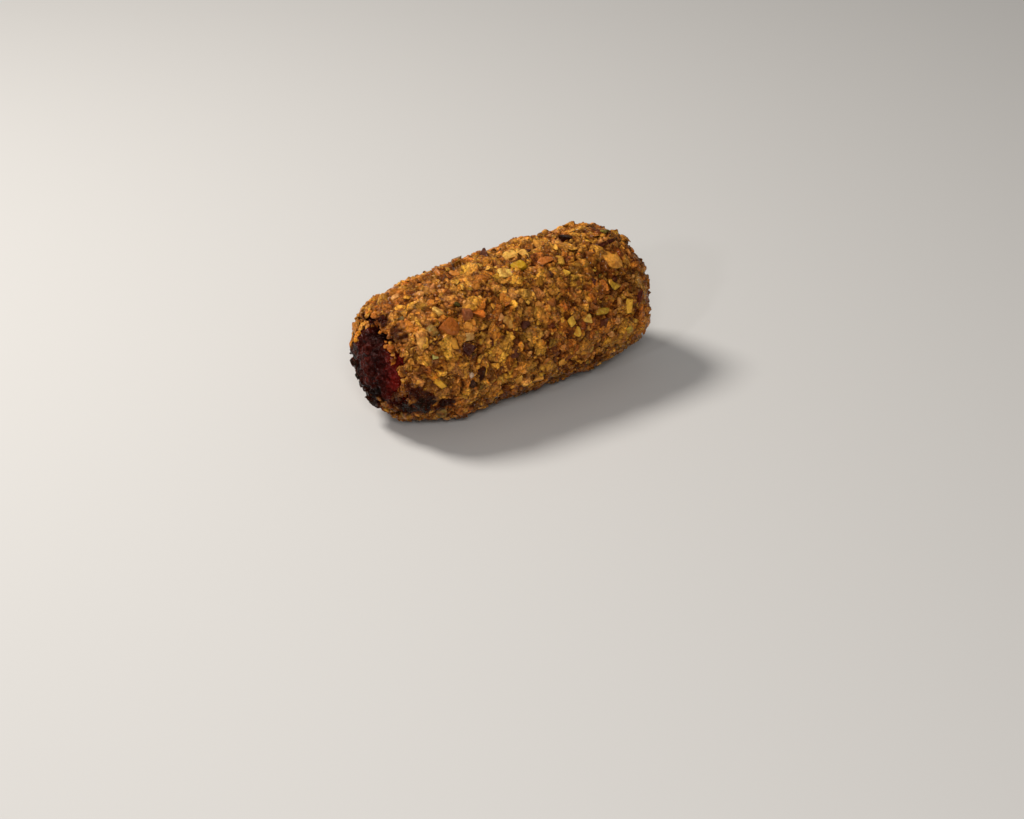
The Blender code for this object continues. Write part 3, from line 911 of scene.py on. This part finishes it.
def build_studio():
    mesh = bpy.data.meshes.new("floor")
    side = 3.0
    corners = [(-side, -side, 0.0), (side, -side, 0.0), (side, side, 0.0), (-side, side, 0.0)]
    mesh.from_pydata(corners, [], [(0, 1, 2, 3)])
    material, nodes, links = shader_of("floor")
    nodes["Principled BSDF"].inputs["Base Color"].default_value = (0.54, 0.53, 0.52, 1.0)
    nodes["Principled BSDF"].inputs["Roughness"].default_value = 0.8
    nodes["Principled BSDF"].inputs["Specular IOR Level"].default_value = 0.2
    mesh.materials.append(material)
    floor = bpy.data.objects.new("floor", mesh)
    bpy.context.scene.collection.objects.link(floor)
    world = bpy.data.worlds.new("studio")
    bpy.context.scene.world = world
    world.use_nodes = True
    world.node_tree.nodes["Background"].inputs["Color"].default_value = (1.0, 0.98, 0.95, 1.0)
    world.node_tree.nodes["Background"].inputs["Strength"].default_value = 0.20
    area_light("key", (-0.26, 0.36, 0.62), 0.24, 5.9, (1.0, 0.96, 0.90))
    area_light("glint", (-0.80, -0.42, 0.52), 0.07, 1.2)
    area_light("fill", (-0.48, -0.66, 0.56), 0.26, 3.8, (1.0, 0.97, 0.93))
    bpy.context.scene.view_settings.view_transform = "Standard"


# Pieces that stand out in the photograph: x, angle in degrees, length, width, thickness, turn in degrees and colour.
# A piece lies round the roll at a turn of 0, and along it at 90
LANDMARK_KERNELS = (
    (-0.0345, 58, 0.0042, 0.0038, 0.0030, 20, (222, 174, 88)),
    (-0.0335, 29, 0.0046, 0.0032, 0.0024, 0, (212, 148, 50)),
    (-0.0406, -2, 0.0052, 0.0036, 0.0028, 60, (218, 160, 48)),
    (0.0010, 72, 0.0050, 0.0044, 0.0028, 20, (166, 124, 16)),
    (-0.0050, 71, 0.0052, 0.0044, 0.0034, 70, (224, 178, 84)),
    (0.0020, 86, 0.0054, 0.0046, 0.0036, 90, (222, 170, 80)),
    (0.0062, 83, 0.0046, 0.0038, 0.0030, 40, (232, 176, 84)),
    (0.0172, 13, 0.0040, 0.0036, 0.0024, 10, (216, 172, 76)),
    (0.0105, 16, 0.0038, 0.0028, 0.0022, 0, (218, 170, 60)),
    (0.0121, 7, 0.0036, 0.0028, 0.0022, 30, (216, 164, 50)),
    (0.0357, 12, 0.0056, 0.0044, 0.0022, 0, (212, 156, 52)),
    (0.0237, 15, 0.0060, 0.0028, 0.0020, 80, (176, 140, 44)),
    (0.0393, -8, 0.0030, 0.0024, 0.0018, 0, (206, 160, 56)),
    (0.0345, -9, 0.0034, 0.0024, 0.0018, 20, (176, 146, 48)),
    (-0.0372, -36, 0.0054, 0.0042, 0.0028, 30, (150, 118, 52)),
    (-0.0470, -52, 0.0040, 0.0032, 0.0026, 50, (190, 150, 46)),
    (-0.0410, 23, 0.0024, 0.0020, 0.0014, 80, (168, 158, 84)),
    (0.0316, 31, 0.0058, 0.0046, 0.0016, 30, (186, 142, 44)),
)
LANDMARK_NUTS = (
    (-0.0333, 42, 0.0074, 0.0064, 0.0050, 30, (150, 80, 26)),
    (-0.0212, 46, 0.0050, 0.0034, 0.0024, 40, (196, 104, 34)),
    (-0.0260, 47, 0.0046, 0.0038, 0.0026, 0, (132, 74, 44)),
    (-0.0269, 38, 0.0034, 0.0030, 0.0022, 60, (200, 132, 50)),
    (-0.0284, 31, 0.0046, 0.0030, 0.0022, 80, (176, 136, 78)),
    (-0.0389, 45, 0.0046, 0.0040, 0.0024, 20, (124, 98, 46)),
    # The next pale chunk is partly a painted highlight: it sits where the dark skin beside it shines
    (-0.0289, -2, 0.0032, 0.0028, 0.0024, 60, (200, 168, 140)),
    (-0.0125, 31, 0.0058, 0.0044, 0.0018, 30, (204, 146, 66)),
    (-0.0148, 38, 0.0044, 0.0034, 0.0022, 0, (198, 136, 78)),
    (0.0353, 53, 0.0078, 0.0074, 0.0020, 0, (206, 138, 50)),
    (-0.0500, 138, 0.0044, 0.0036, 0.0030, 0, (190, 116, 40)),
    (-0.0399, 99, 0.0044, 0.0032, 0.0020, 80, (196, 138, 74)),
    (0.0112, 70, 0.0080, 0.0044, 0.0018, 105, (176, 100, 40)),
    (0.0158, 66, 0.0052, 0.0046, 0.0016, 90, (194, 144, 52)),
    (0.0149, 55, 0.0046, 0.0026, 0.0016, 30, (206, 158, 52)),
    (0.0279, -10, 0.0040, 0.0026, 0.0018, 30, (200, 140, 78)),
)
LANDMARK_SKINS = (
    (-0.0292, 21, 0.0050, 0.0044, 0.0034, 30, (52, 17, 12)),
    (-0.0251, -3, 0.0056, 0.0040, 0.0030, 0, (48, 17, 11)),
    (-0.0282, -12, 0.0050, 0.0044, 0.0032, 30, (30, 12, 7)),
    (-0.0198, 20, 0.0038, 0.0030, 0.0022, 20, (84, 40, 26)),
    (-0.0123, 5, 0.0034, 0.0028, 0.0020, 0, (84, 44, 28)),
    (0.0096, 58, 0.0078, 0.0024, 0.0020, 70, (74, 46, 32)),
    (-0.0025, 106, 0.0050, 0.0042, 0.0048, 60, (74, 36, 20)),
    (0.0097, 88, 0.0042, 0.0032, 0.0026, 80, (60, 26, 16)),
    (-0.0061, 26, 0.0044, 0.0038, 0.0024, 0, (78, 42, 32)),
    (0.0240, 41, 0.0040, 0.0030, 0.0022, 0, (66, 30, 20)),
    (0.0232, 5, 0.0044, 0.0034, 0.0018, 0, (84, 36, 16)),
    (0.0024, 18, 0.0040, 0.0030, 0.0020, 0, (92, 42, 20)),
    (0.0405, 13, 0.0066, 0.0026, 0.0018, 0, (76, 26, 14)),
    # The next long near-black sliver is painted shade: it stands for a dark crevice on top
    (0.0270, 88, 0.0110, 0.0024, 0.0024, 90, (30, 10, 5)),
    (0.0363, 70, 0.0104, 0.0017, 0.0018, 100, (60, 18, 7)),
    (0.0334, 37, 0.0092, 0.0016, 0.0018, 105, (60, 18, 7)),
)
LANDMARK_GREENS = (
    (-0.0268, 59, 0.0024, 0.0020, 0.0014, 30, (84, 76, 34)),
    (-0.0452, 70, 0.0030, 0.0024, 0.0014, 60, (100, 84, 42)),
    (0.0400, 82, 0.0034, 0.0026, 0.0016, 80, (120, 108, 42)),
)

# The lumps on the rim of the mouth: distance from the axis, angle, length, width, thickness, turn and colour
LANDMARK_RIM = (
    (0.0108, 135, 0.0046, 0.0034, 0.0034, 0, (214, 132, 42)),
    (0.0152, 145, 0.0044, 0.0036, 0.0030, 30, (184, 118, 42)),
    (0.0094, 166, 0.0062, 0.0044, 0.0036, 0, (20, 8, 4)),
    (0.0136, 172, 0.0048, 0.0040, 0.0030, 40, (24, 10, 5)),
    (0.0112, 255, 0.0032, 0.0022, 0.0018, 60, (170, 92, 34)),
    (0.0150, 298, 0.0038, 0.0024, 0.0020, 20, (186, 100, 32)),
)

KERNELS = Kind("pistachio_nibs", KERNEL_COLOURS, 120, (0.0036, 0.0014), proud=0.44, cuts=2, own_colour=0.85, seed=21)
NUTS = Kind("nut_chunks", NUT_COLOURS, 120, (0.0046, 0.0020), thicknesses=(0.35, 0.60), proud=0.40, rounded=0.10, seed=22)
SKINS = Kind(
    "skin_flakes", SKIN_COLOURS, 70, (0.0038, 0.0014), widths=(0.4, 0.85), thicknesses=(0.2, 0.4), proud=0.36,
    own_colour=0.85, seed=23,
)
GREENS = Kind(
    "green_flecks", GREEN_COLOURS, 36, (0.0026, 0.0011), thicknesses=(0.3, 0.5), detail=2, own_colour=0.8, seed=24
)
FLAKES = Kind(
    "crust_flakes", CRUMB_COLOURS, 1150, (0.0060, 0.0018), widths=(0.45, 0.95), thicknesses=(0.18, 0.36), proud=0.23,
    detail=2, lean=0.16, own_colour=0.50, seed=25,
)
GRAINS = Kind(
    "crumb_grains", CRUMB_COLOURS, 6000, (0.0012, 0.0005), thicknesses=(0.4, 0.8), proud=0.30, detail=1, cuts=1,
    lean=0.6, own_colour=0.3, crisp=20.0, spaced=False, strays=0.5, seed=26,
)
RIM = Kind("rim_crumbs", RIM_COLOURS, 320, (0.0038, 0.0011), thicknesses=(0.5, 0.85), proud=0.28, lean=0.3, detail=2, seed=27)


def main():
    outline = roll_outline()
    crumb = crumb_material()
    nut = food_material("roasted nut", (0.20, 0.50), (0.74, 1.25), 0.0011, 0.00018, 0.16, NUT_GLOSS, 0.60, 0.22, 0.6)
    kernel = food_material("pistachio kernel", (0.26, 0.55), (0.80, 1.20), 0.0013, 0.0002, 0.18, NUT_GLOSS, 0.50, 0.2, 0.7)
    skin = food_material("nut skin", (0.22, 0.50), (0.65, 1.35), 0.0009, 0.00025, 0.14, SKIN_GLOSS, 0.30, 0.0, 0.1)
    meat = food_material("glazed meat", (0.05, 0.26), (0.35, 1.50), 0.0010, 0.00045, 0.06, MEAT_GLOSS, 0.32, 0.10, 0.0)
    crust = build_crust(CrustSurface(outline), outline, crumb)
    filling = build_filling(meat)
    tree = joined_tree(crust)
    taken = []
    for marks in (LANDMARK_KERNELS, LANDMARK_NUTS, LANDMARK_SKINS, LANDMARK_GREENS):
        for x, degrees, length, *rest in marks:
            taken.append((*outline.at(outline.way_at_x([x]), np.radians([degrees]))[0][0], length))
    scatter(NUTS, outline, tree, taken, LANDMARK_NUTS, nut)
    scatter(KERNELS, outline, tree, taken, LANDMARK_KERNELS, kernel)
    scatter(SKINS, outline, tree, taken, LANDMARK_SKINS, skin)
    scatter(FLAKES, outline, tree, taken, (), crumb)
    scatter(GREENS, outline, tree, taken, LANDMARK_GREENS, crumb)
    scatter(GRAINS, outline, tree, taken, (), crumb)
    build_rim(RIM, outline, joined_tree(crust, filling), LANDMARK_RIM, crumb)
    build_camera()
    build_studio()


main()
